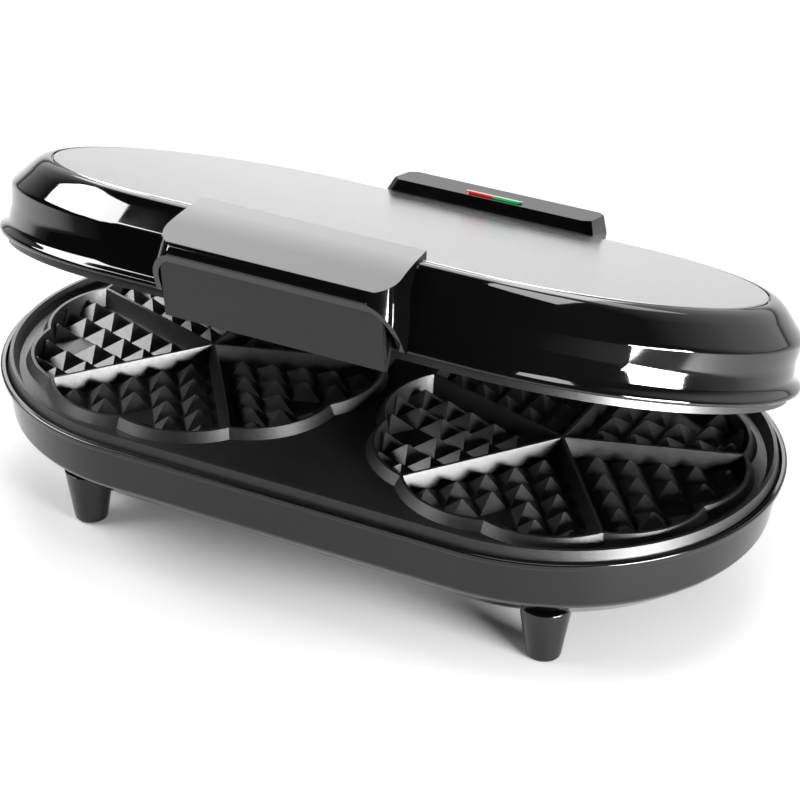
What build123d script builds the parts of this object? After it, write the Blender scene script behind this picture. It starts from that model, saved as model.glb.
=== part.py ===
from build123d import *
import math
import os

# Double waffle maker: two rosettes of five hearts, an oval lid with a steel top and a rear hinge.
# Millimetres, X to the right, Y to the back, Z up. Everything is drawn with the lid closed and
# z = 0 on the wall tops of the lower plate. Lid pieces are then swung open to the rest angle, and
# the whole object is moved so that it stands on z = 0.

# Plan
HALF = 86.3                 # middle to the centre of each round end
ROSETTE_X = 90.2            # middle to the centre of each rosette
FOOT_DROP = 65.4            # wall tops of the lower plate above the table
ORIGIN_SHIFT_Y = -12.2      # moves the object so that its footprint is centred on the origin

# Hinge
HINGE_Y = 111.0
HINGE_Z = 10.7
LID_REST_ANGLE = 19.0       # how far the lid is open at rest
PIN_RADIUS = 2.5
PIN_CLEARANCE = 0.05
KNUCKLE_RADIUS = 6.5
BRACKET_X = 35.0            # middle of each base bracket
LUG_X = 45.6                # middle of each lid lug
LUG_WIDTH = 10.0
BRACKET_FRONT_Y = 93.0
BRACKET_BOTTOM_Z = -22.0
BRACKET_NECK_Z = -10.5      # where a bracket leaves the base's back wall
BRACKET_SCREW_Y = (91.0, 103.0)
BRACKET_SCREW_Z = -16.0
LUG_FRONT_Y = 98.0
LUG_BOTTOM_Z = 14.0
LUG_TOP_Z = 27.0
LUG_SHOULDER = (4.0, 22.0)  # behind the pin, and the height where the lug's back starts to slope
LUG_SCREW_Y = (96.0, 109.0)
LUG_SCREW_Z = 20.5
LUG_GAP = 0.2

# Walls and fasteners
WALL = 2.5
SCREW_RADIUS = 2.0
SCREW_HEAD_RADIUS = 3.8
SCREW_HEAD_HEIGHT = 2.0
SMALL_SCREW_RADIUS = 1.6
SMALL_HEAD_RADIUS = 3.0
POST_RADIUS = 5.5
PLATE_SCREW_TIP_Z = -7.0
PLATE_SCREW_SPOTS = [(0, 62), (0, -62), (ROSETTE_X, 0), (-ROSETTE_X, 0)]

# Base housing: (radius, height) outlines from the flat bottom up to the lip
BASE_BOTTOM_Z = -40.0
BASE_OUTLINES = [
    (79.0, BASE_BOTTOM_Z), (83.0, -38.8), (96.0, -28.0), (97.8, -25.6),
    (100.3, -6.8), (102.4, -6.2), (102.8, -3.6), (102.3, -3.0),
]
BASE_FLOOR_Z = BASE_BOTTOM_Z + WALL
BASE_CAVITY = [(79.0, BASE_FLOOR_Z), (95.3, -25.0), (97.0, -6.2)]
PLATE_SEAT_RADIUS = 100.1

# Feet
FOOT_SPOTS = {
    "front_left_foot": (-115.7, -69.5), "front_right_foot": (115.7, -69.5),
    "rear_left_foot": (-115.7, 69.5), "rear_right_foot": (115.7, 69.5),
}
FOOT_TOP_RADIUS = 11.5
FOOT_BOTTOM_RADIUS = 8.0
FOOT_COLLAR_RADIUS = 13.0
FOOT_COLLAR_HEIGHT = 1.6
FOOT_PAD_RADIUS = 5.5
FOOT_PAD_PROUD = 0.6
FOOT_PAD_HEIGHT = 2.2
FOOT_SCREW_DEPTH = 14.0

# Waffle plates, heights measured from their own wall tops
PLATE_FLAT_Z = -4.4
HEART_FLOOR_Z = -8.4
PLATE_PAD_Z = -11.4
LOBE_CENTRE = 44.0          # rosette centre to the centre of a lobe's arc
LOBE_RADIUS = 40.5
LOBE_ANGLE = 18.0           # each lobe's arc lies this far to either side of its heart's middle
RIB_ANGLE = 36.0
HEART_ANGLES = [54, 126, 198, 270, 342]
WALL_TOP_HALF = 0.7
WALL_DRAFT = 0.26           # how much a wall or rib thickens for each millimetre down
WALL_FOOT_GROWTH = 2.6      # how far the outer wall spreads on its way down to the plate's flat
PAD_LOBE_GROWTH = 1.6
PYRAMID_PITCH = 14.45
PYRAMID_START = 12.3        # rosette centre to the first pyramid, along each rib
PYRAMID_GAP = 1.2
PYRAMID_TIP = 0.8
PYRAMID_TOP_Z = -1.9
PYRAMID_ROOT = 1.0
PYRAMID_ROWS = 6
RIM_TOP_WIDTH = 1.6
RIM_SLOPE = 2.6
LOWER_RIM = dict(top=1.3, top_radius=98.2, bottom_radius=99.3, back=-6.2)
UPPER_RIM = dict(top=-1.8, top_radius=99.5, bottom_radius=99.5, back=-8.6)
UPPER_PLATE_Z = 0.8         # wall tops of the upper plate with the lid closed

# Heating elements
ELEMENT_RADIUS = 3.2
ELEMENT_Y = 50.0
ELEMENT_X = 138.0
ELEMENT_BEND = 46.0
TERMINAL_X = 24.0
TERMINAL_Y = 82.0
TERMINAL_BEND = 10.0
CLAMP_SPOTS = [(60, ELEMENT_Y), (-60, ELEMENT_Y), (60, -ELEMENT_Y), (-60, -ELEMENT_Y)]
CLAMP_SIZE = (12.0, 15.0, 8.0)

# Heat shields
SHIELD_RADIUS = 76.0
SHIELD_THICKNESS = 0.8
SHIELD_HEIGHT = 9.5
LOWER_SHIELD_Z = -25.0
UPPER_SHIELD_Z = 25.8

# Lid shell: (radius, height, half length between the end centres)
LID_OUTLINES = [
    (103.4, 6.4, 86.0), (104.0, 7.2, 86.3), (104.0, 8.6, 86.3), (102.5, 11.2, 84.0),
    (102.2, 19.0, 83.8), (102.8, 28.4, 84.6), (102.5, 29.6, 84.4), (98.6, 39.2, 79.6),
    (97.0, 41.6, 78.2), (95.2, 42.7, 77.2), (93.9, 43.0, 76.6),
]
LID_CAVITY = [
    (101.2, 6.4, 86.0), (101.2, 9.5, 86.0), (99.7, 11.5, 83.6), (99.7, 28.0, 83.6),
    (95.2, 39.9, 78.0),
]
LID_DECK_Z = 39.9
STEEL_RADIUS = 92.6
STEEL_HALF = 76.4
STEEL_BOTTOM_Z = 42.2
STEEL_TOP_Z = 43.2
STEEL_GROOVE = 1.0
STEEL_GROOVE_DEPTH = 0.6
STEEL_EDGE = 0.4

# Handle: (y, z) outlines of its side view, and its (half width, z) at the bottom and the top
HANDLE_SIDES = [(60.4, -5.0), (53.0, 48.0)]
HANDLE_BACK_Y = -70.0
HANDLE_WALL = 2.6
HANDLE_CORNER = 13.0
HANDLE_FRONT_Y = -124.0
HANDLE_OUTLINE = [
    (-88.5, 47.0), (-104.0, 41.0), (-120.0, 32.2), (-122.8, 30.4), (-124.0, 28.0), (-123.6, 25.4),
    (-105.0, 6.4), (-88.5, 6.4),
]
HANDLE_HOLLOW = [
    (-84.0, 44.4), (-104.0, 37.8), (-118.6, 29.4), (-121.0, 27.0), (-120.6, 25.4), (-120.6, 0.0),
    (-84.0, 0.0),
]
PANEL_HALF_WIDTH = 52.0
PANEL_OUTLINE = [
    (-121.6, 28.0), (-107.0, -2.5), (-104.0, -2.5), (-104.0, 12.0),
    (-106.2, 12.0), (-106.2, 2.2), (-118.6, 28.0),
]
HANDLE_BOSS_SPOTS = [(-38, 26.0), (38, 26.0)]
HANDLE_BOSS_RADIUS = 3.6
HANDLE_BOSS_BACK_Y = -100.0
HANDLE_SCREW_Y = (-96.5, -114.0)

# Lamp housing: (half width, front y, back y, height) outlines
LAMP_BAR_OUTLINES = [
    (55.0, 93.6, 119.0, 28.0), (55.0, 93.6, 119.0, 43.2), (52.5, 95.0, 117.5, 49.0),
]
LAMP_BAR_CORNER = 3.5
LAMP_BAR_RISE = 0.125       # how much the bar's top climbs for each millimetre towards the back
LENS_Y = 101.2
LENS_WIDTH = 4.0
LENS_LENGTH = 15.0
LENS_TOP_Z = 50.5
LENS_BOTTOM_Z = 46.8
LAMP_RADIUS = 1.5
LAMP_LENGTH = 9.0

# Cord inlet and wiring
INLET_Z = -17.0
INLET_BORE = 3.6
INLET_BODY = 6.0
INLET_FLANGE = 8.5
INLET_FRONT_Y = 90.0
INLET_BACK_Y = 104.0
CORD_CLAMP_SIZE = (28.0, 7.0, 4.0)
CORD_CLAMP_POST = 8.0       # depth of the post that the clamp is screwed to
CORD_CLAMP_Y = 84.0
CORD_CLAMP_SCREW_X = 9.5
LEAD_RADIUS = 1.2
LEAD_BEND = 3.0
TERMINAL_BLOCK_SPOT = (-52.0, 70.0)
TERMINAL_BLOCK_SIZE = (26.0, 10.0, 9.0)
TERMINAL_SCREW_X = 7.0      # from the block's middle
FUSE_Z = -31.0
FUSE_RADIUS = 2.6
FUSE_LENGTH = 24.0
CARRIER_SIZE = (30.0, 5.0, 8.0)

# Thermostat on the back of the upper plate
THERMOSTAT_RADIUS = 10.0
THERMOSTAT_HEIGHT = 8.0
THERMOSTAT_STRAP = (36.0, 9.0, 1.2)
THERMOSTAT_SCREW_X = 14.5
THERMOSTAT_SCREW_DEPTH = 2.5

STANDING = (Align.CENTER, Align.CENTER, Align.MIN)

pieces = {}
lid_nodes = []


# ---- small helpers ----
def slot(radius, z, half=HALF):
    """A round-ended outline at height z."""
    return Pos(0, 0, z) * SlotCenterToCenter(2 * half, 2 * radius)


def slot_solid(outlines):
    """A solid that passes through round-ended outlines, from the bottom up."""
    return loft([slot(*outline) for outline in outlines], ruled=True)


def side_solid(points, half_width):
    """A solid with the (y, z) outline given, as wide as twice half_width."""
    face = make_face(Plane.YZ * Polyline(*points, close=True))
    return extrude(face, amount=half_width, both=True)


def rod(start, end, radius):
    """A straight round bar between two points."""
    start, end = Vector(*start), Vector(*end)
    length = (end - start).length
    base = Plane(origin=start, z_dir=end - start)
    return base * Cylinder(radius, length, align=STANDING)


def screw(head, tip, radius=SCREW_RADIUS, head_radius=SCREW_HEAD_RADIUS):
    """A screw from the top of its head to its tip, with a cross slot."""
    head, tip = Vector(*head), Vector(*tip)
    along = (tip - head).normalized()
    under = head + along * SCREW_HEAD_HEIGHT
    body = rod(head, under, head_radius) + rod(under, tip, radius)
    recess = Plane(origin=head, z_dir=along)
    for turn in (0, 90):
        body -= recess * Rot(0, 0, turn) * Box(head_radius * 1.2, 0.9, 1.6)
    return body


def group(solids):
    """Several separate solids that share one node."""
    return Compound(children=[s for part in solids for s in part.solids()])


def keep(node, shape, lid=False):
    """Files a finished piece under its node name."""
    pieces[node] = shape
    if lid:
        lid_nodes.append(node)


# ---- waffle plates ----
def lobe_point(radius, side):
    """Where a lobe's arc of this radius is centred, and where it meets its neighbours."""
    centre = Vector(LOBE_CENTRE, 0, 0).rotate(Axis.Z, side * LOBE_ANGLE)
    cleft = centre.X + math.sqrt(radius**2 - centre.Y**2)
    return centre, cleft


def rosette_outline(radius, z):
    """The ten-lobed outline of a rosette whose lobes have this radius."""
    _, notch = lobe_point(radius, 1)
    apex = LOBE_CENTRE + radius
    edges = []
    for lobe in range(10):
        middle = 36 * lobe
        start = Vector(notch, 0, z).rotate(Axis.Z, middle - 18)
        top = Vector(apex, 0, z).rotate(Axis.Z, middle)
        end = Vector(notch, 0, z).rotate(Axis.Z, middle + 18)
        edges.append(ThreePointArc(start, top, end))
    return Face(Wire(edges))


def heart_outline(depth):
    """One heart's hollow at this depth below the wall tops, pointing along +X."""
    radius = LOBE_RADIUS - WALL_TOP_HALF - WALL_DRAFT * depth
    rib_half = WALL_TOP_HALF + WALL_DRAFT * depth
    centre, cleft = lobe_point(radius, 1)
    along = Vector(1, 0, 0).rotate(Axis.Z, RIB_ANGLE)
    inward = Vector(0, -1, 0).rotate(Axis.Z, RIB_ANGLE)
    reach = centre.dot(along) + math.sqrt(radius**2 - (inward.dot(centre) - rib_half) ** 2)
    corner = inward * rib_half + along * reach
    apex = centre + Vector(radius, 0, 0).rotate(Axis.Z, LOBE_ANGLE)
    point = Vector(rib_half / math.sin(math.radians(RIB_ANGLE)), 0, 0)

    def flip(p):
        return Vector(p.X, -p.Y, p.Z)

    edges = [
        Edge.make_line(point, corner),
        Edge.make_three_point_arc(corner, apex, Vector(cleft, 0, 0)),
        Edge.make_three_point_arc(Vector(cleft, 0, 0), flip(apex), flip(corner)),
        Edge.make_line(flip(corner), point),
    ]
    return Pos(0, 0, -depth) * Face(Wire(edges))


def heart_hollow():
    """The tapered hollow of one heart, without its pyramids."""
    return loft([heart_outline(-HEART_FLOOR_Z), heart_outline(-0.4)], ruled=True)


def pyramids():
    """The pyramids of one heart, in rows that run along both of its ribs."""
    ribs = [Vector(1, 0, 0).rotate(Axis.Z, side * RIB_ANGLE) for side in (1, -1)]

    def rhombus(half, z):
        corners = [ribs[0] * half, ribs[1] * half, ribs[0] * -half, ribs[1] * -half]
        spans = [corners[k] + corners[(k + 1) % 4] for k in range(4)]
        return Pos(0, 0, z) * make_face(Polyline(*spans, close=True))

    foot_half = (PYRAMID_PITCH - PYRAMID_GAP) / 2
    foot = rhombus(foot_half, HEART_FLOOR_Z)
    tip = rhombus(PYRAMID_TIP / 2, PYRAMID_TOP_Z)
    root = extrude(foot, amount=-PYRAMID_ROOT)
    pyramid = loft([foot, tip], ruled=True) + root
    spots = []
    for i in range(PYRAMID_ROWS):
        for j in range(PYRAMID_ROWS - i):
            first = ribs[0] * (PYRAMID_START + PYRAMID_PITCH * i)
            spots.append(first + ribs[1] * (PYRAMID_START + PYRAMID_PITCH * j))
    return [Pos(spot.X, spot.Y, 0) * pyramid for spot in spots]


def rosette_hollows():
    """The five hearts of one rosette, as the shapes that are cut from the plate."""
    hollow = heart_hollow()
    for pyramid in pyramids():
        hollow -= pyramid
    return [Rot(0, 0, angle) * hollow for angle in HEART_ANGLES]


def waffle_plate(rim):
    """A cast plate with its two rosettes facing up and its wall tops at z = 0."""
    back, top = rim["back"], rim["top"]
    flange = slot_solid([
        (rim["bottom_radius"], back), (rim["bottom_radius"], back + 2.5), (rim["top_radius"], top),
    ])
    inner = rim["top_radius"] - RIM_TOP_WIDTH
    if top > PLATE_FLAT_Z:
        flange -= slot_solid([(inner - RIM_SLOPE, PLATE_FLAT_Z), (inner, top), (inner, top + 1)])
    for x in (-ROSETTE_X, ROSETTE_X):
        wall_foot = LOBE_RADIUS + WALL_TOP_HALF + WALL_FOOT_GROWTH
        wall = loft([
            rosette_outline(wall_foot, PLATE_FLAT_Z),
            rosette_outline(LOBE_RADIUS + WALL_TOP_HALF, 0),
        ], ruled=True)
        pad = extrude(rosette_outline(LOBE_RADIUS + PAD_LOBE_GROWTH, PLATE_PAD_Z),
                      amount=PLATE_FLAT_Z - PLATE_PAD_Z)
        flange += Pos(x, 0, 0) * wall + Pos(x, 0, 0) * pad
    for x, y in PLATE_SCREW_SPOTS[:2]:
        boss_height = PLATE_FLAT_Z - 0.5 - PLATE_PAD_Z
        flange += Pos(x, y, PLATE_PAD_Z) * Cylinder(POST_RADIUS, boss_height, align=STANDING)
    for x in (-ROSETTE_X, ROSETTE_X):
        for hollow in rosette_hollows():
            flange -= Pos(x, 0, 0) * hollow
    return flange


# ---- pieces that both halves have ----
def element_path(z):
    """The heating element's loop, open at the back where its two ends leave."""
    points = [
        (-TERMINAL_X, TERMINAL_Y, z), (-TERMINAL_X, ELEMENT_Y, z), (-ELEMENT_X, ELEMENT_Y, z),
        (-ELEMENT_X, -ELEMENT_Y, z), (ELEMENT_X, -ELEMENT_Y, z), (ELEMENT_X, ELEMENT_Y, z),
        (TERMINAL_X, ELEMENT_Y, z), (TERMINAL_X, TERMINAL_Y, z),
    ]
    bends = [TERMINAL_BEND] + [ELEMENT_BEND] * 4 + [TERMINAL_BEND]
    return FilletPolyline(*points, radius=bends)


def tube_along(path, radius):
    """A round solid that follows a path."""
    return sweep(Plane(origin=path @ 0, z_dir=path % 0) * Circle(radius), path=path)


def heating_element(z):
    return tube_along(element_path(z), ELEMENT_RADIUS)


def element_clamps(z):
    """Four saddles that hold the element against the plate."""
    clamps = []
    for x, y in CLAMP_SPOTS:
        saddle = Pos(x, y, z + ELEMENT_RADIUS - CLAMP_SIZE[2] / 2) * Box(*CLAMP_SIZE)
        groove = rod((x - CLAMP_SIZE[0], y, z), (x + CLAMP_SIZE[0], y, z), ELEMENT_RADIUS + 0.05)
        mouth = Pos(x, y, z + CLAMP_SIZE[2] / 2) * Box(
            CLAMP_SIZE[0] + 1, 2 * ELEMENT_RADIUS + 0.1, CLAMP_SIZE[2])
        clamps.append(saddle - groove - mouth)
    return clamps


def heat_shield(z):
    """A shallow sheet tray with its rim up, cleared round the element's ends and the screws."""
    inner = SHIELD_RADIUS - SHIELD_THICKNESS
    tray = slot_solid([(SHIELD_RADIUS, z), (SHIELD_RADIUS, z + SHIELD_HEIGHT)])
    tray -= slot_solid([(inner, z + SHIELD_THICKNESS), (inner, z + SHIELD_HEIGHT + 1)])
    for x in (-TERMINAL_X, TERMINAL_X):
        tray -= Pos(x, SHIELD_RADIUS, z + SHIELD_HEIGHT / 2 + 2) * Box(12, 12, SHIELD_HEIGHT)
    for x, y in PLATE_SCREW_SPOTS:
        tray -= Pos(x, y, z) * Cylinder(SCREW_RADIUS + 0.3, 4)
    return tray


def flipped(shape):
    """A piece drawn for the lower plate, turned upside down for the upper plate."""
    return Pos(0, 0, UPPER_PLATE_Z) * mirror(shape, about=Plane.XY)


# ---- base ----
def foot_body(x, y):
    """A tapered foot with a collar at the top and a rounded sole."""
    sole = FOOT_PAD_PROUD - FOOT_DROP
    profile = [
        (0, sole), (FOOT_BOTTOM_RADIUS - 1.6, sole), (FOOT_BOTTOM_RADIUS - 0.4, sole + 0.7),
        (FOOT_BOTTOM_RADIUS, sole + 2.4), (FOOT_TOP_RADIUS, BASE_BOTTOM_Z - FOOT_COLLAR_HEIGHT),
        (FOOT_COLLAR_RADIUS, BASE_BOTTOM_Z - FOOT_COLLAR_HEIGHT + 0.4),
        (FOOT_COLLAR_RADIUS, BASE_BOTTOM_Z), (0, BASE_BOTTOM_Z),
    ]
    body = revolve(make_face(Plane.XZ * Polyline(*profile, close=True)), axis=Axis.Z)
    body = Pos(x, y, 0) * body
    pad = Pos(x, y, -FOOT_DROP) * Cylinder(FOOT_PAD_RADIUS, FOOT_PAD_HEIGHT, align=STANDING)
    fixing = screw((x, y, BASE_FLOOR_Z + SCREW_HEAD_HEIGHT), (x, y, BASE_BOTTOM_Z - FOOT_SCREW_DEPTH))
    return body - pad - fixing, pad, fixing


def base_bracket(x):
    """The base's half of one hinge: a plate with a knuckle, let into the housing's back wall."""
    neck_front = HINGE_Y - KNUCKLE_RADIUS + 0.3
    neck_back = HINGE_Y + KNUCKLE_RADIUS
    outline = [
        (BRACKET_FRONT_Y, BRACKET_BOTTOM_Z), (BRACKET_FRONT_Y, BRACKET_NECK_Z),
        (neck_front, BRACKET_NECK_Z), (neck_front, HINGE_Z),
        (neck_back, HINGE_Z), (neck_back, BRACKET_NECK_Z + 0.5), (neck_front, BRACKET_BOTTOM_Z),
    ]
    plate = Pos(x, 0, 0) * side_solid(outline, LUG_WIDTH / 2)
    knuckle = rod((x - LUG_WIDTH / 2, HINGE_Y, HINGE_Z), (x + LUG_WIDTH / 2, HINGE_Y, HINGE_Z),
                  KNUCKLE_RADIUS)
    hole = rod((x - LUG_WIDTH, HINGE_Y, HINGE_Z), (x + LUG_WIDTH, HINGE_Y, HINGE_Z),
               PIN_RADIUS + PIN_CLEARANCE)
    return plate + knuckle - hole


def cord_grommet():
    body = rod((0, INLET_FRONT_Y, INLET_Z), (0, INLET_BACK_Y, INLET_Z), INLET_BODY)
    body += rod((0, INLET_BACK_Y - 4.5, INLET_Z), (0, INLET_BACK_Y, INLET_Z), INLET_FLANGE)
    return body - rod((0, INLET_FRONT_Y - 1, INLET_Z), (0, INLET_BACK_Y + 1, INLET_Z), INLET_BORE)


def base_housing():
    """The base's moulded tub with its lip, plate seat, screw posts and cord clamp post."""
    tub = slot_solid(BASE_OUTLINES) - slot_solid(BASE_CAVITY)
    tub -= slot_solid([(PLATE_SEAT_RADIUS, BASE_CAVITY[-1][1]), (PLATE_SEAT_RADIUS, -2)])
    for x, y in PLATE_SCREW_SPOTS:
        post_height = LOWER_SHIELD_Z - BASE_BOTTOM_Z
        tub += Pos(x, y, BASE_BOTTOM_Z) * Cylinder(POST_RADIUS, post_height, align=STANDING)
        tub -= rod((x, y, BASE_BOTTOM_Z - 1), (x, y, BASE_BOTTOM_Z + 4), SCREW_HEAD_RADIUS + 0.2)
        tub -= rod((x, y, BASE_BOTTOM_Z), (x, y, LOWER_SHIELD_Z + 1), SCREW_RADIUS + 0.3)
    post_height = INLET_Z - INLET_BORE - BASE_FLOOR_Z
    tub += Pos(0, CORD_CLAMP_Y, BASE_FLOOR_Z) * Box(
        CORD_CLAMP_SIZE[0], CORD_CLAMP_POST, post_height, align=STANDING)
    return tub


def build_base():
    element_z = PLATE_PAD_Z - ELEMENT_RADIUS
    keep("lower_heating_element", heating_element(element_z))
    keep("lower_element_clamps", group(element_clamps(element_z)))
    keep("lower_heat_shield", heat_shield(LOWER_SHIELD_Z))
    plate = waffle_plate(LOWER_RIM)
    plate_screws = []
    for x, y in PLATE_SCREW_SPOTS:
        fixing = screw((x, y, BASE_BOTTOM_Z + 2), (x, y, PLATE_SCREW_TIP_Z))
        plate -= fixing
        plate_screws.append(fixing)
    keep("lower_plate", plate)
    keep("lower_plate_screws", group(plate_screws))

    housing = base_housing()
    pads, fixings = [], []
    for node, (x, y) in FOOT_SPOTS.items():
        body, pad, fixing = foot_body(x, y)
        housing -= fixing
        keep(node, body)
        pads.append(pad)
        fixings.append(fixing)
    keep("foot_pads", group(pads))
    keep("foot_screws", group(fixings))

    bracket_screws = []
    for node, x in (("base_hinge_left", -BRACKET_X), ("base_hinge_right", BRACKET_X)):
        bracket = base_bracket(x)
        front, back = BRACKET_SCREW_Y
        fixing = screw((x, front, BRACKET_SCREW_Z), (x, back, BRACKET_SCREW_Z),
                       SMALL_SCREW_RADIUS, SMALL_HEAD_RADIUS)
        housing -= bracket + fixing
        keep(node, bracket - fixing)
        bracket_screws.append(fixing)
    keep("base_hinge_screws", group(bracket_screws))

    keep("base_housing", build_cord_inlet(housing))
    build_base_wiring()


def build_cord_inlet(housing):
    """The grommet in the back wall and the clamp behind it; gives the housing with their holes."""
    grommet = cord_grommet()
    passage = rod((0, CORD_CLAMP_Y - CORD_CLAMP_POST / 2, INLET_Z), (0, INLET_BACK_Y, INLET_Z), INLET_BORE)
    housing -= grommet + passage
    keep("cord_inlet_grommet", grommet)
    width, depth, height = CORD_CLAMP_SIZE
    clamp_z = INLET_Z + INLET_BORE + 0.2
    clamp = Pos(0, CORD_CLAMP_Y, clamp_z) * Box(width, depth, height, align=STANDING)
    clamp_screws = []
    for x in (-CORD_CLAMP_SCREW_X, CORD_CLAMP_SCREW_X):
        head = (x, CORD_CLAMP_Y, clamp_z + height + SCREW_HEAD_HEIGHT)
        tip = (x, CORD_CLAMP_Y, BASE_FLOOR_Z + 7.5)
        fixing = screw(head, tip, SMALL_SCREW_RADIUS, SMALL_HEAD_RADIUS)
        clamp -= fixing
        housing -= fixing
        clamp_screws.append(fixing)
    keep("cord_clamp", clamp)
    keep("cord_clamp_screws", group(clamp_screws))
    return housing


def build_base_wiring():
    """The terminal block, the two leads to the element and the thermal fuse on one of them."""
    block_x, block_y = TERMINAL_BLOCK_SPOT
    width, depth, height = TERMINAL_BLOCK_SIZE
    block = Pos(block_x, block_y, BASE_FLOOR_Z) * Box(width, depth, height, align=STANDING)
    block_screws = []
    for x in (block_x - TERMINAL_SCREW_X, block_x + TERMINAL_SCREW_X):
        head = (x, block_y, BASE_FLOOR_Z + height + SCREW_HEAD_HEIGHT)
        fixing = screw(head, (x, block_y, BASE_FLOOR_Z + 2), SMALL_SCREW_RADIUS, SMALL_HEAD_RADIUS)
        block -= fixing
        block_screws.append(fixing)
    keep("terminal_block", block)
    keep("terminal_screws", group(block_screws))

    element_z = PLATE_PAD_Z - ELEMENT_RADIUS
    behind = TERMINAL_Y + 4.5   # the leads turn just behind the element's ends
    entry_z = BASE_FLOOR_Z + height / 2
    left = FilletPolyline(
        (-TERMINAL_X, TERMINAL_Y, element_z), (-TERMINAL_X, behind, element_z),
        (block_x, block_y + depth, entry_z), (block_x, block_y + depth / 2, entry_z),
        radius=LEAD_BEND)
    keep("left_mains_lead", tube_along(left, LEAD_RADIUS))
    right = FilletPolyline(
        (TERMINAL_X, TERMINAL_Y, element_z), (TERMINAL_X, behind, element_z),
        (TERMINAL_X, behind, FUSE_Z), (TERMINAL_X, block_y, FUSE_Z),
        (block_x + width / 2, block_y, FUSE_Z), radius=LEAD_BEND)
    fuse = rod((-FUSE_LENGTH / 2, block_y, FUSE_Z), (FUSE_LENGTH / 2, block_y, FUSE_Z), FUSE_RADIUS)
    keep("right_mains_lead", tube_along(right, LEAD_RADIUS) - fuse)
    keep("lower_thermal_fuse", fuse)


# ---- lid ----
def lid_outer():
    return slot_solid(LID_OUTLINES)


def lid_lug(x):
    """The lid's half of one hinge: a lug that holds the pin, let into the shell's back wall."""
    neck_front = HINGE_Y - KNUCKLE_RADIUS + LUG_GAP
    neck_back = HINGE_Y + KNUCKLE_RADIUS
    shoulder_y, shoulder_z = HINGE_Y + LUG_SHOULDER[0], LUG_SHOULDER[1]
    outline = [
        (LUG_FRONT_Y, LUG_BOTTOM_Z), (LUG_FRONT_Y, LUG_TOP_Z), (shoulder_y, LUG_TOP_Z),
        (neck_back, shoulder_z), (neck_back, HINGE_Z), (neck_front, HINGE_Z),
        (neck_front, LUG_BOTTOM_Z),
    ]
    lug = Pos(x, 0, 0) * side_solid(outline, LUG_WIDTH / 2)
    return lug + rod((x - LUG_WIDTH / 2, HINGE_Y, HINGE_Z), (x + LUG_WIDTH / 2, HINGE_Y, HINGE_Z),
                     KNUCKLE_RADIUS)


def lid_shell(outer):
    """The lid's moulded cover, with a seat and a groove for the steel top and four screw posts."""
    shell = outer - slot_solid(LID_CAVITY)
    above = STEEL_TOP_Z + 1
    seat = slot_solid([
        (STEEL_RADIUS, STEEL_BOTTOM_Z, STEEL_HALF), (STEEL_RADIUS, above, STEEL_HALF)])
    groove_radius = STEEL_RADIUS + STEEL_GROOVE
    groove = slot_solid([
        (groove_radius, STEEL_BOTTOM_Z - STEEL_GROOVE_DEPTH, STEEL_HALF),
        (groove_radius, above, STEEL_HALF)])
    island = slot_solid([
        (STEEL_RADIUS, STEEL_BOTTOM_Z - 1, STEEL_HALF), (STEEL_RADIUS, above + 1, STEEL_HALF)])
    shell -= seat
    shell -= groove - island
    bottom = UPPER_SHIELD_Z
    for x, y in PLATE_SCREW_SPOTS:
        post_height = LID_DECK_Z - bottom + 0.5
        shell += Pos(x, y, bottom) * Cylinder(POST_RADIUS, post_height, align=STANDING)
        shell -= rod((x, y, STEEL_BOTTOM_Z - 3), (x, y, above), SCREW_HEAD_RADIUS + 0.2)
        shell -= rod((x, y, bottom - 1), (x, y, STEEL_BOTTOM_Z), SCREW_RADIUS + 0.3)
    return shell


def handle_plan(inset):
    """The handle's tapered sides and rounded front corners, this far in from the outside."""
    front = HANDLE_FRONT_Y + inset
    depth = HANDLE_BACK_Y - front
    outlines = []
    for half_width, z in HANDLE_SIDES:
        shape = RectangleRounded(2 * (half_width - inset), depth, HANDLE_CORNER - inset)
        outlines.append(Pos(0, front + depth / 2, z) * shape)
    return loft(outlines, ruled=True)


def build_handle(outer):
    """The handle's cover, the inset panel below it, and two screws from inside the lid."""
    widest = HANDLE_SIDES[0][0] + 1
    cover = side_solid(HANDLE_OUTLINE, widest) & handle_plan(0)
    cover -= side_solid(HANDLE_HOLLOW, widest) & handle_plan(HANDLE_WALL)
    fixings = []
    for x, z in HANDLE_BOSS_SPOTS:
        cover += rod((x, HANDLE_BOSS_BACK_Y, z), (x, HANDLE_FRONT_Y + HANDLE_WALL, z), HANDLE_BOSS_RADIUS)
        head, tip = HANDLE_SCREW_Y
        fixings.append(screw((x, head, z), (x, tip, z), SMALL_SCREW_RADIUS, SMALL_HEAD_RADIUS))
    cover -= outer
    cover -= slot_solid([
        (STEEL_RADIUS + STEEL_GROOVE, LID_DECK_Z, STEEL_HALF),
        (STEEL_RADIUS + STEEL_GROOVE, STEEL_TOP_Z, STEEL_HALF)])
    for fixing in fixings:
        cover -= fixing
    keep("handle_cover", cover, lid=True)
    panel = side_solid(PANEL_OUTLINE, PANEL_HALF_WIDTH) & handle_plan(HANDLE_WALL)
    keep("handle_panel", panel - cover - outer, lid=True)
    keep("handle_screws", group(fixings), lid=True)
    return fixings


def lamp_bar(inset):
    """The lamp housing's outer shape, drawn in by inset, with its corners cut off."""
    outlines = []
    for half_width, front, back, z in LAMP_BAR_OUTLINES:
        right, near, far = half_width - inset, front + inset, back - inset
        cut = LAMP_BAR_CORNER - inset / 2
        corners = [
            (-right + cut, near), (right - cut, near), (right, near + cut), (right, far - cut),
            (right - cut, far), (-right + cut, far), (-right, far - cut), (-right, near + cut),
        ]
        is_top = z == LAMP_BAR_OUTLINES[-1][3]
        rise = LAMP_BAR_RISE if is_top else 0
        height = z - inset if is_top else z
        points = [(x, y, height + rise * (y - front)) for x, y in corners]
        outlines.append(make_face(Polyline(*points, close=True)))
    return loft(outlines, ruled=True)


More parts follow.
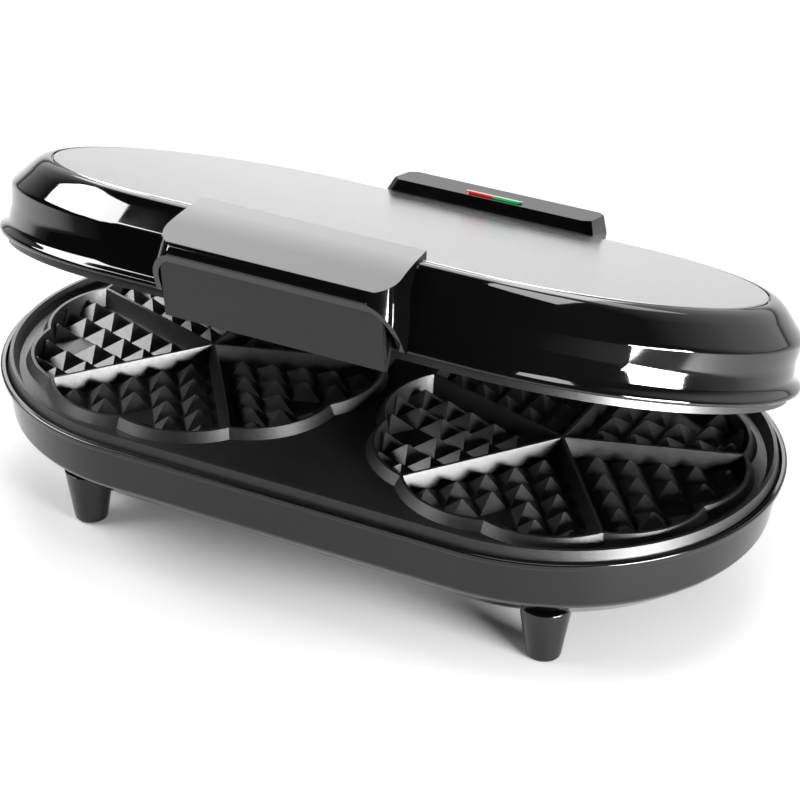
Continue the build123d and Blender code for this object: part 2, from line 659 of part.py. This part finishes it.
def lens(side):
    """Half of the pill-shaped window: -1 is the left half, +1 the right."""
    pill = Pos(0, LENS_Y, LENS_BOTTOM_Z) * extrude(
        SlotOverall(2 * LENS_LENGTH, LENS_WIDTH), amount=LENS_TOP_Z - LENS_BOTTOM_Z)
    half = Pos(side * LENS_LENGTH, LENS_Y, LENS_BOTTOM_Z) * Box(
        2 * LENS_LENGTH, 2 * LENS_WIDTH, 20)
    return pill & half


def build_lamp_housing(outer):
    """The bar behind the steel top: it carries the two lamps and covers the hinge."""
    housing = lamp_bar(0) - lamp_bar(WALL)
    housing -= outer
    for node, side in (("red_lens", -1), ("green_lens", 1)):
        window = lens(side)
        housing -= window
        keep(node, window, lid=True)
    keep("lamp_housing", housing, lid=True)
    lamp_z = LENS_BOTTOM_Z - LAMP_RADIUS - 0.2
    carrier_top = lamp_z - LAMP_RADIUS
    carrier = Pos(0, LENS_Y, carrier_top) * Box(
        *CARRIER_SIZE, align=(Align.CENTER, Align.CENTER, Align.MAX))
    keep("lamp_carrier", carrier - outer, lid=True)
    for node, x in (("red_lamp", -LENS_LENGTH / 2), ("green_lamp", LENS_LENGTH / 2)):
        lamp = rod((x - LAMP_LENGTH / 2, LENS_Y, lamp_z), (x + LAMP_LENGTH / 2, LENS_Y, lamp_z),
                   LAMP_RADIUS)
        keep(node, lamp, lid=True)


def build_lid_wiring():
    """The two leads from the element's ends to the middle of the hinge."""
    start_z = UPPER_PLATE_Z - PLATE_PAD_Z + ELEMENT_RADIUS
    for node, side in (("left_lid_lead", -1), ("right_lid_lead", 1)):
        path = FilletPolyline(
            (side * TERMINAL_X, TERMINAL_Y, start_z), (side * TERMINAL_X, 90, start_z),
            (side * 8, 92, 22), (side * 4, 98, 22), radius=3)
        keep(node, tube_along(path, LEAD_RADIUS), lid=True)


def build_thermostat(plate):
    """The thermostat on the plate's back; gives the plate with its screw holes."""
    back_z = UPPER_PLATE_Z - PLATE_PAD_Z
    strap_height = THERMOSTAT_STRAP[2]
    thermostat = Pos(0, 0, back_z) * Cylinder(THERMOSTAT_RADIUS, THERMOSTAT_HEIGHT, align=STANDING)
    thermostat += Pos(0, 0, back_z) * Box(*THERMOSTAT_STRAP, align=STANDING)
    thermostat_screws = []
    for x in (-THERMOSTAT_SCREW_X, THERMOSTAT_SCREW_X):
        head = (x, 0, back_z + strap_height + SCREW_HEAD_HEIGHT)
        tip = (x, 0, back_z - THERMOSTAT_SCREW_DEPTH)
        fixing = screw(head, tip, SMALL_SCREW_RADIUS, SMALL_HEAD_RADIUS)
        thermostat -= fixing
        plate -= fixing
        thermostat_screws.append(fixing)
    keep("thermostat", thermostat, lid=True)
    keep("thermostat_screws", group(thermostat_screws), lid=True)
    return plate


def build_upper_plate():
    """The upper plate with its screws, heating element, clamps, shield and thermostat."""
    plate = flipped(waffle_plate(UPPER_RIM))
    plate_screws = []
    for x, y in PLATE_SCREW_SPOTS:
        fixing = screw((x, y, STEEL_BOTTOM_Z - 1), (x, y, UPPER_PLATE_Z - PLATE_SCREW_TIP_Z))
        plate -= fixing
        plate_screws.append(fixing)
    keep("upper_plate_screws", group(plate_screws), lid=True)
    element_z = PLATE_PAD_Z - ELEMENT_RADIUS
    keep("upper_heating_element", flipped(heating_element(element_z)), lid=True)
    keep("upper_element_clamps", group([flipped(c) for c in element_clamps(element_z)]), lid=True)
    keep("upper_heat_shield", flipped(heat_shield(LOWER_SHIELD_Z)), lid=True)
    keep("upper_plate", build_thermostat(plate), lid=True)


def build_lid_hinges(shell):
    """The two lugs, their pins and screws; gives the shell with their seats cut."""
    lug_screws = []
    for side, name in ((-1, "left"), (1, "right")):
        x = side * LUG_X
        inner_x = side * (BRACKET_X - LUG_WIDTH / 2 - 1)
        outer_x = side * (LUG_X + LUG_WIDTH / 2 + 1)
        pin = rod((inner_x, HINGE_Y, HINGE_Z), (outer_x, HINGE_Y, HINGE_Z), PIN_RADIUS)
        head, tip = LUG_SCREW_Y
        fixing = screw((x, head, LUG_SCREW_Z), (x, tip, LUG_SCREW_Z),
                       SMALL_SCREW_RADIUS, SMALL_HEAD_RADIUS)
        lug = lid_lug(x)
        shell -= lug + fixing
        keep(f"lid_hinge_{name}", lug - pin - fixing, lid=True)
        keep(f"hinge_pin_{name}", pin, lid=True)
        lug_screws.append(fixing)
    keep("lid_hinge_screws", group(lug_screws), lid=True)
    return shell


def build_lid():
    outer = lid_outer()
    shell = lid_shell(outer)
    for fixing in build_handle(outer):
        shell -= fixing
    keep("steel_top_plate", slot_solid([
        (STEEL_RADIUS, STEEL_BOTTOM_Z, STEEL_HALF),
        (STEEL_RADIUS, STEEL_TOP_Z - STEEL_EDGE, STEEL_HALF),
        (STEEL_RADIUS - STEEL_EDGE, STEEL_TOP_Z, STEEL_HALF)]), lid=True)
    build_upper_plate()
    keep("lid_shell", build_lid_hinges(shell), lid=True)
    build_lamp_housing(outer)
    build_lid_wiring()


# ---- the whole ----
def place(node, shape):
    """Opens the lid's pieces to the rest angle and stands the object on z = 0."""
    if node in lid_nodes:
        shape = shape.rotate(Axis((0, HINGE_Y, HINGE_Z), (-1, 0, 0)), LID_REST_ANGLE)
    return Pos(0, ORIGIN_SHIFT_Y, FOOT_DROP) * shape


build_base()
build_lid()
os.makedirs("parts", exist_ok=True)
whole = []
for node, shape in pieces.items():
    placed = place(node, shape)
    export_step(placed, f"parts/{node}.step")
    whole.append(placed)
box = Compound(children=whole).bounding_box()
print("box low", box.min, "high", box.max, "middle y", (box.min.Y + box.max.Y) / 2)
print("hinge at", (0, HINGE_Y + ORIGIN_SHIFT_Y, HINGE_Z + FOOT_DROP))
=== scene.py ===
import math

import bmesh
import bpy
from mathutils import Matrix, Vector


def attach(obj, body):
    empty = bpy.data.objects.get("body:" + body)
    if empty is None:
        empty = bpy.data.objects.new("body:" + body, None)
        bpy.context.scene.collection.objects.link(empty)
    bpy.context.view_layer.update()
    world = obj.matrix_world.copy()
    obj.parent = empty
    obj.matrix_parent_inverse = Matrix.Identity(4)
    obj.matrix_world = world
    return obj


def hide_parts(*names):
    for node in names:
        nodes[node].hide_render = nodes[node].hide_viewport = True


# A double waffle maker with its lid part open, on a plain pale floor.
# Shapes below are drawn in millimetres in the frame of the closed lid, with z = 0 on the wall
# tops of the lower plate, and are then moved into the row frame, in metres.

MM = 0.001
SHIFT = Vector((0, -12.2, 65.4))
HINGE = Vector((0, 111.0, 10.7))
LID_ANGLE = math.radians(19)
HALF = 86.3
STEEL_HALF = 76.4
END_STEPS = 72

# Camera: AIM, lens and sensor in millimetres, and its place in degrees and metres round AIM
AIM = Vector((11.89, -5.53, 0))
LENS = 110.66
SENSOR = 36
CAMERA_AZIMUTH = 26.8
CAMERA_ELEVATION = 28.98
CAMERA_ROLL = 1.2
CAMERA_DISTANCE = 1.1162

# The room that surfaces reflect: its brightness in front and behind, and where one becomes the
# other, as the Y part of a ray's direction
ROOM_DARK = 0.02
ROOM_BACK = 0.9
WALL_STARTS = 0.2
WALL_ENDS = 0.75

# Softboxes: azimuth and elevation in degrees, distance, width and height in metres, radiance, and
# the point that the light faces
MIDDLE = (0, 0, 0.1)
SOFTBOXES = {
    "overhead": (0, 90, 2.3, 1.1, 1.1, 9.0, MIDDLE),
    "rear_overhead": (178, 58, 2.6, 1.6, 1.2, 3.5, (0, 0.5, 0)),
    "left_box": (-71, 34.5, 1.5, 1.4, 0.56, 22, MIDDLE),
    "right_strip": (66, 1, 0.6, 0.26, 0.13, 150, (0, 0, 0.12)),
    "back_box": (-152, 38, 2.0, 1.4, 1.5, 4.9, MIDDLE),
}
FLOOR_SIZE = 6

BASE = Matrix.Scale(MM, 4) @ Matrix.Translation(SHIFT)
LID = BASE @ Matrix.Translation(HINGE) @ Matrix.Rotation(-LID_ANGLE, 4, "X") @ Matrix.Translation(-HINGE)

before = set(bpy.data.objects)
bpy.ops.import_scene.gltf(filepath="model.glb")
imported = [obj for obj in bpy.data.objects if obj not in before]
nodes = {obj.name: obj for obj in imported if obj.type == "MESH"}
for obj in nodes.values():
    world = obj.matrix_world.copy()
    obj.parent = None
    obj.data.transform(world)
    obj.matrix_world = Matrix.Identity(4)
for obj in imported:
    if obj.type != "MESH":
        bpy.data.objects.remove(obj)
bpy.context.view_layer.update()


# ---- materials ----
# The part of a noise texture's range that most of its values lie in
NOISE_LOW = 0.3
NOISE_HIGH = 0.7


def map_range(tree, start, end, low, high):
    """A node that carries the range from start to end onto the range from low to high."""
    ramp = tree.nodes.new("ShaderNodeMapRange")
    ramp.inputs["From Min"].default_value = start
    ramp.inputs["From Max"].default_value = end
    ramp.inputs["To Min"].default_value = low
    ramp.inputs["To Max"].default_value = high
    return ramp


class Finish:
    """A Principled material with its own object-space coordinates."""

    def __init__(self, name, **values):
        self.material = bpy.data.materials.new(name)
        self.material.use_nodes = True
        self.tree = self.material.node_tree
        self.shader = self.tree.nodes["Principled BSDF"]
        self.place = self.add("ShaderNodeTexCoord").outputs["Object"]
        for socket, value in values.items():
            self.shader.inputs[socket.replace("_", " ")].default_value = value

    def add(self, kind, **settings):
        node = self.tree.nodes.new(kind)
        for key, value in settings.items():
            if hasattr(node, key):
                setattr(node, key, value)
            else:
                node.inputs[key].default_value = value
        return node

    def link(self, output, socket):
        self.tree.links.new(output, socket)

    def noise(self, scale, detail=3.0, stretch=None):
        """Noise with this many features per metre, drawn out along an axis if stretch says so."""
        place = self.place
        if stretch:
            mapping = self.add("ShaderNodeMapping")
            mapping.inputs["Scale"].default_value = stretch
            self.link(place, mapping.inputs["Vector"])
            place = mapping.outputs["Vector"]
        noise = self.add("ShaderNodeTexNoise", Scale=scale, Detail=detail)
        self.link(place, noise.inputs["Vector"])
        return noise.outputs["Fac"]

    def spread(self, value, low, high):
        """Maps a noise value onto the range from low to high."""
        ramp = map_range(self.tree, NOISE_LOW, NOISE_HIGH, low, high)
        self.link(value, ramp.inputs["Value"])
        return ramp.outputs["Result"]

    def colour(self, value, dark, light, start=NOISE_LOW, end=NOISE_HIGH):
        """Runs from a dark to a light colour over a noise value."""
        ramp = self.add("ShaderNodeValToRGB")
        ramp.color_ramp.elements[0].position = start
        ramp.color_ramp.elements[1].position = end
        ramp.color_ramp.elements[0].color = (*dark, 1)
        ramp.color_ramp.elements[1].color = (*light, 1)
        self.link(value, ramp.inputs["Fac"])
        self.link(ramp.outputs["Color"], self.shader.inputs["Base Color"])

    def roughness(self, value, low, high):
        self.link(self.spread(value, low, high), self.shader.inputs["Roughness"])

    def bump(self, value, strength, depth):
        """Relief this deep, in metres."""
        bump = self.add("ShaderNodeBump", Strength=strength, Distance=depth)
        self.link(value, bump.inputs["Height"])
        self.link(bump.outputs["Normal"], self.shader.inputs["Normal"])


def grey(value):
    return (value, value, value)


def gloss_plastic(name, tone, rough_low, rough_high, ior=1.5):
    """Black moulded plastic, polished by the mould, with a very slight unevenness."""
    finish = Finish(name, IOR=ior)
    cloud = finish.noise(18, 2)
    finish.colour(cloud, grey(tone * 0.8), grey(tone * 1.2))
    finish.roughness(finish.noise(60, 4), rough_low, rough_high)
    finish.bump(finish.noise(25, 1), 0.1, 0.00004)
    return finish.material


def matt_plastic(name, tone, roughness):
    """Plastic from a finely eroded mould."""
    finish = Finish(name, IOR=1.43)
    finish.colour(finish.noise(90, 4), [c * 0.85 for c in tone], [c * 1.15 for c in tone])
    finish.roughness(finish.noise(300, 3), roughness - 0.06, roughness + 0.06)
    finish.bump(finish.noise(2500, 2), 0.35, 0.00006)
    return finish.material


def brushed_metal(name, tone, rough_low, rough_high, stretch):
    """Metal with a fine grain along one axis."""
    finish = Finish(name, Metallic=1.0)
    grain = finish.noise(900, 4, stretch)
    finish.colour(grain, [c * 0.92 for c in tone], [min(1, c * 1.05) for c in tone])
    finish.roughness(grain, rough_low, rough_high)
    finish.bump(grain, strength=0.08, depth=0.00002)
    return finish.material


def non_stick():
    """Dark baked coating on a blasted casting: a fine tooth that glints."""
    finish = Finish("non_stick", IOR=1.5, Coat_Weight=0.1, Coat_Roughness=0.34)
    grit = finish.noise(2600, 3)
    finish.colour(grit, grey(0.001), grey(0.012), 0.4, 0.75)
    finish.roughness(finish.noise(1500, 3), 0.3, 0.5)
    finish.bump(grit, 0.45, 0.00012)
    return finish.material


def lens_plastic(name, tone, glow):
    finish = Finish(name, Roughness=0.06, IOR=1.5, Transmission_Weight=0.35, Coat_Weight=0.5)
    finish.colour(finish.noise(400, 2), [c * 0.75 for c in tone], tone)
    finish.shader.inputs["Emission Color"].default_value = (*tone, 1)
    finish.shader.inputs["Emission Strength"].default_value = glow
    return finish.material


def make_finishes():
    steel_tone = (0.46, 0.46, 0.46)
    return {
        "housing_plastic": gloss_plastic("housing_plastic", 0.001, 0.1, 0.18, 1.43),
        "lid_plastic": gloss_plastic("lid_plastic", 0.001, 0.03, 0.07),
        "handle_plastic": gloss_plastic("handle_plastic", 0.001, 0.05, 0.09),
        "panel_plastic": matt_plastic("panel_plastic", grey(0.003), 0.36),
        "steel": brushed_metal("steel", steel_tone, 0.16, 0.26, (0.02, 1, 1)),
        "non_stick": non_stick(),
        "element_steel": brushed_metal("element_steel", (0.42, 0.4, 0.38), 0.3, 0.45, (1, 1, 1)),
        "clamp_steel": brushed_metal("clamp_steel", (0.6, 0.6, 0.58), 0.35, 0.5, (1, 0.1, 1)),
        "shield": brushed_metal("shield", (0.72, 0.72, 0.7), 0.3, 0.5, (0.05, 1, 1)),
        "screw_steel": brushed_metal("screw_steel", (0.62, 0.62, 0.6), 0.25, 0.4, (1, 1, 1)),
        "pin_steel": brushed_metal("pin_steel", (0.66, 0.66, 0.66), 0.18, 0.3, (0.2, 1, 1)),
        "foot_plastic": gloss_plastic("foot_plastic", 0.001, 0.05, 0.12),
        "rubber": matt_plastic("rubber", grey(0.02), 0.75),
        "hinge_plastic": matt_plastic("hinge_plastic", grey(0.02), 0.42),
        "inner_plastic": matt_plastic("inner_plastic", (0.62, 0.6, 0.54), 0.5),
        "wire": matt_plastic("wire", (0.5, 0.5, 0.48), 0.55),
        "red_lens": lens_plastic("red_lens", (0.62, 0.03, 0.025), 0.15),
        "green_lens": lens_plastic("green_lens", (0.02, 0.42, 0.12), 0.15),
        "lamp_glass": lens_plastic("lamp_glass", (0.85, 0.8, 0.72), 0.0),
    }


# ---- shapes ----
def rounded(points, cut, steps=4):
    """A run of points with each inner corner turned into a smooth bend that starts cut away from
    it. A point may be a pair, (point, cut), to bend at its own distance."""
    plain = [Vector(p[0]) if isinstance(p[0], tuple) else Vector(p) for p in points]
    cuts = [p[1] if isinstance(p[0], tuple) else cut for p in points]
    line = [plain[0]]
    for before, corner, after, size in zip(plain, plain[1:], plain[2:], cuts[1:]):
        back, ahead = before - corner, after - corner
        size = min(size, back.length * 0.48, ahead.length * 0.48)
        start = corner + back.normalized() * size
        end = corner + ahead.normalized() * size
        for step in range(steps + 1):
            t = step / steps
            line.append(start * (1 - t) ** 2 + corner * 2 * t * (1 - t) + end * t**2)
    line.append(plain[-1])
    return line


def stadium(radius, z, half):
    """A round-ended ring of points, from the front of the right end round to the left end."""
    ring = []
    for centre, first in ((half, -90), (-half, 90)):
        for step in range(END_STEPS + 1):
            angle = math.radians(first + 180 * step / END_STEPS)
            ring.append((centre + radius * math.cos(angle), radius * math.sin(angle), z))
    return ring


def skin(rings):
    """A closed mesh through rings with the same number of points, capped at both ends."""
    mesh = bmesh.new()
    rows = [[mesh.verts.new(point) for point in ring] for ring in rings]
    for lower, upper in zip(rows, rows[1:]):
        for k in range(len(lower)):
            following = (k + 1) % len(lower)
            mesh.faces.new((lower[k], lower[following], upper[following], upper[k]))
    mesh.faces.new(reversed(rows[0]))
    mesh.faces.new(rows[-1])
    return mesh


def piece(name, mesh, where, body, slot, stands_for, sharp=40):
    """A finished mesh as a piece that rides on a body and stands for CAD nodes."""
    bmesh.ops.remove_doubles(mesh, verts=mesh.verts, dist=1e-5)
    bmesh.ops.recalc_face_normals(mesh, faces=mesh.faces)
    mesh.transform(where)
    data = bpy.data.meshes.new(name)
    mesh.to_mesh(data)
    mesh.free()
    data.shade_smooth()
    data.set_sharp_from_angle(angle=math.radians(sharp))
    made = bpy.data.objects.new(name, data)
    bpy.context.scene.collection.objects.link(made)
    made.data.materials.append(finishes[slot])
    weighted = made.modifiers.new("even_shading", "WEIGHTED_NORMAL")
    weighted.keep_sharp = True
    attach(made, body)
    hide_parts(*stands_for)


# Handle: (half width, height) of its sides at the bottom and the top, and its (y, z) outlines
HANDLE_SIDES = [(60.4, -5.0), (53.0, 48.0)]
HANDLE_CORNER = 13.0
HANDLE_FRONT_Y = -124.0
HANDLE_BACK_Y = -70.0
HANDLE_WALL = 2.6
HANDLE_REACH = 66.0
CORNER_STEPS = 14
# Each (y, z) point comes with how far from it the outline starts to bend
HANDLE_OUTLINE = [
    ((-88.5, 43.3), 0), ((-88.5, 47.0), 0.8), ((-104.0, 41.0), 12.0), ((-124.0, 30.0), 3.2),
    ((-123.6, 25.4), 0.7), ((-105.0, 6.4), 0.7), ((-101.5, 6.4), 0.5), ((-101.5, 30.0), 0.5),
    ((-97.5, 39.0), 0.5), ((-93.0, 42.9), 0),
]
HANDLE_HOLLOW = [
    (-84.0, 42.9), (-93.0, 41.8), (-104.0, 37.8), (-118.6, 29.4), (-121.0, 27.0), (-120.6, 25.4),
    (-120.6, 0.0), (-84.0, 0.0),
]
PANEL_HALF_WIDTH = 52.0
PANEL_OUTLINE = [
    (-121.4, 27.6), (-107.0, -2.5), (-104.0, -2.5), (-104.0, 12.0), (-106.2, 12.0), (-106.2, 2.2),
    (-118.6, 27.6),
]

# Feet: the middle of each, and (radius, height) from the sole up into the base's bottom
FOOT_SPOTS = {
    "front_left": (-115.7, -69.5), "front_right": (115.7, -69.5),
    "rear_left": (-115.7, 69.5), "rear_right": (115.7, 69.5),
}
FOOT_PROFILE = [(6.2, -64.8), (7.6, -64.8), (8.0, -62.6), (11.6, -39.0), (10.0, -39.0)]
FOOT_STEPS = 64

# How far, in millimetres, the edges of CAD pieces are rounded
SOFT_EDGES = {
    "lower_plate": 0.45, "upper_plate": 0.45, "lamp_housing": 0.9,
    "base_hinge_left": 0.5, "base_hinge_right": 0.5,
    "lid_hinge_left": 0.5, "lid_hinge_right": 0.5,
}
# (radius, height, half length between the end centres), from the groove round the steel to the
# flared lip and back up inside
LID_PROFILE = [
    (93.6, 41.6, 76.4), (93.6, 42.9, 76.4), (93.9, 43.0, 76.6), (95.2, 42.7, 77.2), (97.0, 41.6, 78.2),
    (98.6, 39.2, 79.6), (102.5, 29.6, 84.4), (102.8, 28.4, 84.6), (102.2, 19.0, 83.8),
    (102.5, 11.2, 84.0), (104.0, 8.6, 86.3), (104.0, 7.2, 86.3), (103.4, 6.4, 86.0),
    (101.2, 6.4, 86.0), (101.2, 9.5, 86.0), (99.7, 11.5, 83.6), (99.7, 28.0, 83.6), (95.2, 39.9, 78.0),
]
# (radius, height) of the steel's edge, from below
STEEL_PROFILE = [(92.6, 42.2), (92.6, 42.8), (92.2, 43.2), (91.4, 43.2)]
# (radius, height), from the inside of the floor up to the plate's seat, over the lip and down
BASE_PROFILE = [
    (79.0, -37.5), (95.3, -25.0), (97.0, -6.2), (100.1, -6.2), (100.1, -3.2), (100.5, -2.9),
    (102.3, -3.0), (102.8, -3.6), (102.4, -6.2), (100.3, -6.8), (97.8, -25.6), (96.0, -28.0),
    (83.0, -38.8), (79.0, -40.0),
]


def lid_shell():
    """The lid's glossy cover, smooth from the groove round the steel to its flared lip."""
    line = rounded(LID_PROFILE, 1.6)
    return skin([stadium(*point) for point in line])


def base_shell():
    """The base's tub, smooth from its seat for the plate over the lip to the bottom bevel."""
    line = rounded(BASE_PROFILE, 0.9)
    return skin([stadium(radius, z, HALF) for radius, z in line])


def steel_top():
    """The steel inlay: flat, with a rolled edge that dips into the groove."""
    line = rounded(STEEL_PROFILE, 0.5)
    return skin([stadium(radius, z, STEEL_HALF) for radius, z in line])


def side_block(outline, half_width):
    """A block with the (y, z) outline given, as wide as twice half_width."""
    return skin([[(x, y, z) for y, z in outline] for x in (-half_width, half_width)])


def plan_block(inset):
    """The handle's tapered sides and rounded front corners, this far in from the outside."""
    rings = []
    for half_width, z in HANDLE_SIDES:
        right, radius = half_width - inset, HANDLE_CORNER - inset
        front = HANDLE_FRONT_Y + inset
        ring = [(-right, HANDLE_BACK_Y, z)]
        for side, first in ((-1, 180), (1, 270)):
            for step in range(CORNER_STEPS + 1):
                angle = math.radians(first + 90 * step / CORNER_STEPS)
                ring.append((side * (right - radius) + radius * math.cos(angle),
                             front + radius + radius * math.sin(angle), z))
        ring.append((right, HANDLE_BACK_Y, z))
        rings.append(ring)
    return skin(rings)


def stock(mesh):
    """A passing object that holds a mesh while shapes are cut from each other."""
    bmesh.ops.recalc_face_normals(mesh, faces=mesh.faces)
    data = bpy.data.meshes.new("stock")
    mesh.to_mesh(data)
    mesh.free()
    made = bpy.data.objects.new("stock", data)
    bpy.context.scene.collection.objects.link(made)
    return made


def cut(mesh, tool, operation):
    """The first mesh cut by the second: INTERSECT or DIFFERENCE."""
    body, blade = stock(mesh), stock(tool)
    step = body.modifiers.new("cut", "BOOLEAN")
    step.operation = operation
    step.solver = "EXACT"
    step.object = blade
    graph = bpy.context.evaluated_depsgraph_get()
    result = bmesh.new()
    result.from_mesh(body.evaluated_get(graph).to_mesh())
    for passing in (body, blade):
        data = passing.data
        bpy.data.objects.remove(passing)
        bpy.data.meshes.remove(data)
    return result


def handle_cover():
    """The handle's crowned cover: a smooth top that rolls over a tight nose, open below."""
    outside = rounded(HANDLE_OUTLINE, 0, steps=6)
    cover = cut(side_block(outside, HANDLE_REACH), plan_block(0), "INTERSECT")
    hollow = cut(side_block(HANDLE_HOLLOW, HANDLE_REACH), plan_block(HANDLE_WALL), "INTERSECT")
    return cut(cover, hollow, "DIFFERENCE")


def handle_panel():
    """The flat insert that closes the handle's front below the cover's arched edge."""
    panel = side_block(PANEL_OUTLINE, PANEL_HALF_WIDTH)
    return cut(panel, plan_block(HANDLE_WALL), "INTERSECT")


def foot(x, y):
    """A tapered foot that runs straight into the base, with a rounded sole."""
    rings = []
    for radius, z in rounded(FOOT_PROFILE, 0.8):
        ring = []
        for step in range(FOOT_STEPS):
            angle = 2 * math.pi * step / FOOT_STEPS
            ring.append((x + radius * math.cos(angle), y + radius * math.sin(angle), z))
        rings.append(ring)
    return skin(rings)


def soften(node, width):
    """Rounds the edges of a CAD piece, as its mould or casting does."""
    made = nodes[node]
    flat = made.modifiers.new("flat_faces", "DECIMATE")
    flat.decimate_type = "DISSOLVE"
    flat.angle_limit = math.radians(0.5)
    edges = made.modifiers.new("round_edges", "BEVEL")
    edges.width = width * MM
    edges.segments = 2
    edges.limit_method = "ANGLE"
    edges.angle_limit = math.radians(25)
    edges.harden_normals = True


def camera():
    """The product shot: three quarters from the right, a little above."""
    data = bpy.data.cameras.new("camera")
    data.lens = LENS
    data.sensor_width = SENSOR
    data.clip_end = 20
    made = bpy.data.objects.new("camera", data)
    bpy.context.scene.collection.objects.link(made)
    back = direction(CAMERA_AZIMUTH, CAMERA_ELEVATION)
    target = (SHIFT + AIM) * MM
    roll = Matrix.Rotation(math.radians(CAMERA_ROLL), 4, "Z")
    turn = (-back).to_track_quat("-Z", "Y").to_matrix().to_4x4() @ roll
    made.matrix_world = Matrix.Translation(target + back * CAMERA_DISTANCE) @ turn
    bpy.context.scene.camera = made


def direction(azimuth, elevation):
    """A unit vector from the object: azimuth 0 is the front, 90 the right, 180 the back."""
    a, e = math.radians(azimuth), math.radians(elevation)
    return Vector((math.sin(a) * math.cos(e), -math.cos(a) * math.cos(e), math.sin(e)))


def softbox(name, azimuth, elevation, distance, width, height, radiance, aim):
    """A rectangular soft light that faces the object and looks this bright in a mirror."""
    back = direction(azimuth, elevation)
    data = bpy.data.lights.new(name, "AREA")
    data.shape = "RECTANGLE"
    data.size, data.size_y = width, height
    data.energy = radiance * math.pi * width * height
    made = bpy.data.objects.new(name, data)
    bpy.context.scene.collection.objects.link(made)
    made.matrix_world = (Matrix.Translation(Vector(aim) + back * distance)
                         @ (-back).to_track_quat("-Z", "Y").to_matrix().to_4x4())
    made.visible_camera = False


def backdrop():
    """White where the camera sees past the floor; to all else, a dim room with a pale back wall."""
    world = bpy.data.worlds.new("studio")
    world.use_nodes = True
    bpy.context.scene.world = world
    tree = world.node_tree
    room = tree.nodes["Background"]
    seen = tree.nodes.new("ShaderNodeBackground")
    seen.inputs["Color"].default_value = (1, 1, 1, 1)
    place = tree.nodes.new("ShaderNodeTexCoord")
    split = tree.nodes.new("ShaderNodeSeparateXYZ")
    wall = map_range(tree, WALL_STARTS, WALL_ENDS, ROOM_DARK, ROOM_BACK)
    rays = tree.nodes.new("ShaderNodeLightPath")
    mix = tree.nodes.new("ShaderNodeMixShader")
    tree.links.new(place.outputs["Generated"], split.inputs["Vector"])
    tree.links.new(split.outputs["Y"], wall.inputs["Value"])
    tree.links.new(wall.outputs["Result"], room.inputs["Strength"])
    room.inputs["Color"].default_value = (1, 1, 1, 1)
    tree.links.new(rays.outputs["Is Camera Ray"], mix.inputs["Fac"])
    tree.links.new(room.outputs["Background"], mix.inputs[1])
    tree.links.new(seen.outputs["Background"], mix.inputs[2])
    tree.links.new(mix.outputs["Shader"], tree.nodes["World Output"].inputs["Surface"])


def studio():
    """A pale floor and the softboxes whose reflections draw the gloss."""
    backdrop()
    floor_mesh = bmesh.new()
    bmesh.ops.create_grid(floor_mesh, x_segments=4, y_segments=4, size=FLOOR_SIZE)
    data = bpy.data.meshes.new("floor")
    floor_mesh.to_mesh(data)
    floor_mesh.free()
    floor = bpy.data.objects.new("floor", data)
    bpy.context.scene.collection.objects.link(floor)
    finish = Finish("floor", Roughness=0.7)
    finish.colour(finish.noise(3, 2), grey(0.36), grey(0.38))
    floor.data.materials.append(finish.material)
    for name, values in SOFTBOXES.items():
        softbox(name, *values)


finishes = make_finishes()
for node, made in nodes.items():
    for slot in made.material_slots:
        key = slot.material.name.split(".")[0]
        slot.material = finishes[key]

piece("lid_cover", lid_shell(), LID, "lid", "lid_plastic", ["lid_shell"])
piece("base_tub", base_shell(), BASE, "base", "housing_plastic", ["base_housing"])
piece("steel_inlay", steel_top(), LID, "lid", "steel", ["steel_top_plate"])
piece("handle_body", handle_cover(), LID, "lid", "handle_plastic", ["handle_cover"], sharp=30)
piece("handle_insert", handle_panel(), LID, "lid", "panel_plastic", ["handle_panel"], sharp=30)
for place, (x, y) in FOOT_SPOTS.items():
    piece(f"{place}_leg", foot(x, y), BASE, "base", "foot_plastic", [f"{place}_foot"])
for node, width in SOFT_EDGES.items():
    soften(node, width)
camera()
studio()
bpy.context.scene.view_settings.view_transform = "Standard"
